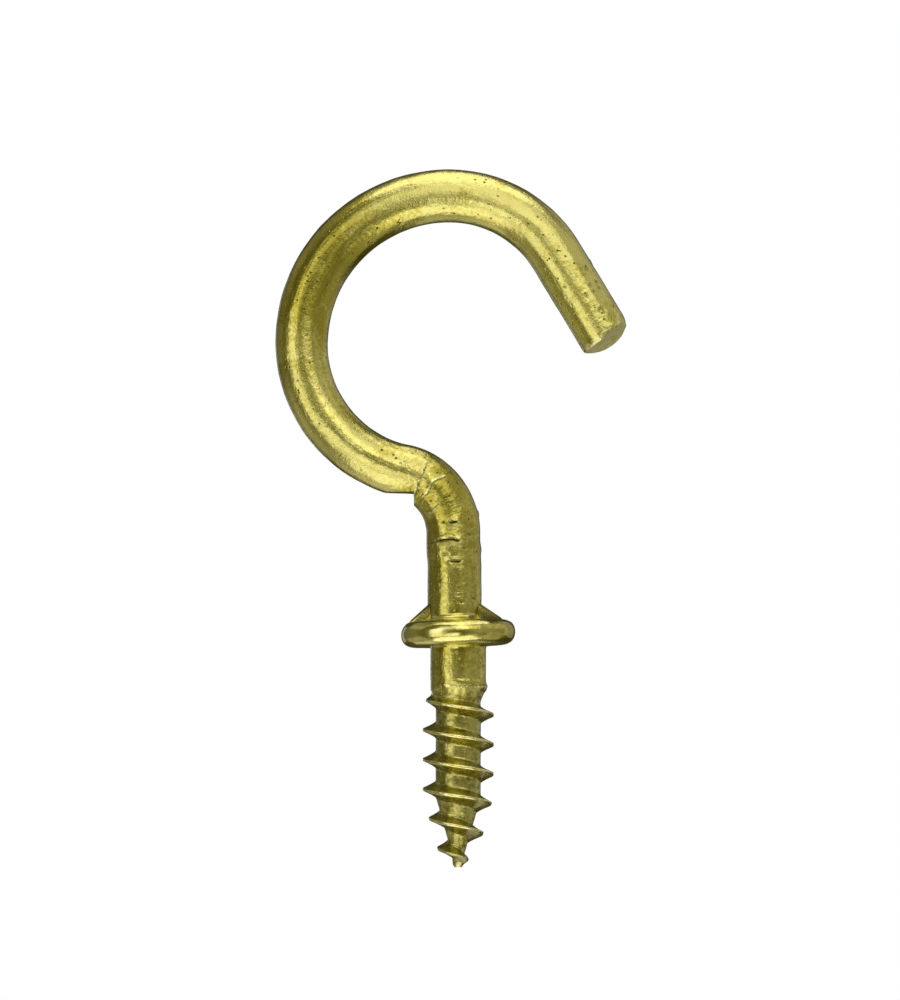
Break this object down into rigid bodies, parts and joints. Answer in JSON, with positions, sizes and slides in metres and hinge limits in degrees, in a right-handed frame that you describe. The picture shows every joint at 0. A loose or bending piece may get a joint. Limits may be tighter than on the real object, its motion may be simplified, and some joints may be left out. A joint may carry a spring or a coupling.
{
  "type": "shouldered cup hook",
  "caption": "Brass cup hook bent from round wire, with an open bow and a kinked neck above a collar with a flat seat, and a tapered wood-screw thread below it.",
  "frame": {"origin": "centre of the collar's flat seat, on the axis of the screw", "axes": "+Z from the seat up through the bow, -Z along the screw to its point, +X across the bow to its open end, +Y away from the picture's camera"},
  "size_m": [0.0234, 0.0074, 0.046],
  "materials": {
    "brass": "satin, with drawing marks, die marks and small pits"
  },
  "bodies": {
    "root": {"cup_hook": "brass"}
  },
  "joints": []
}
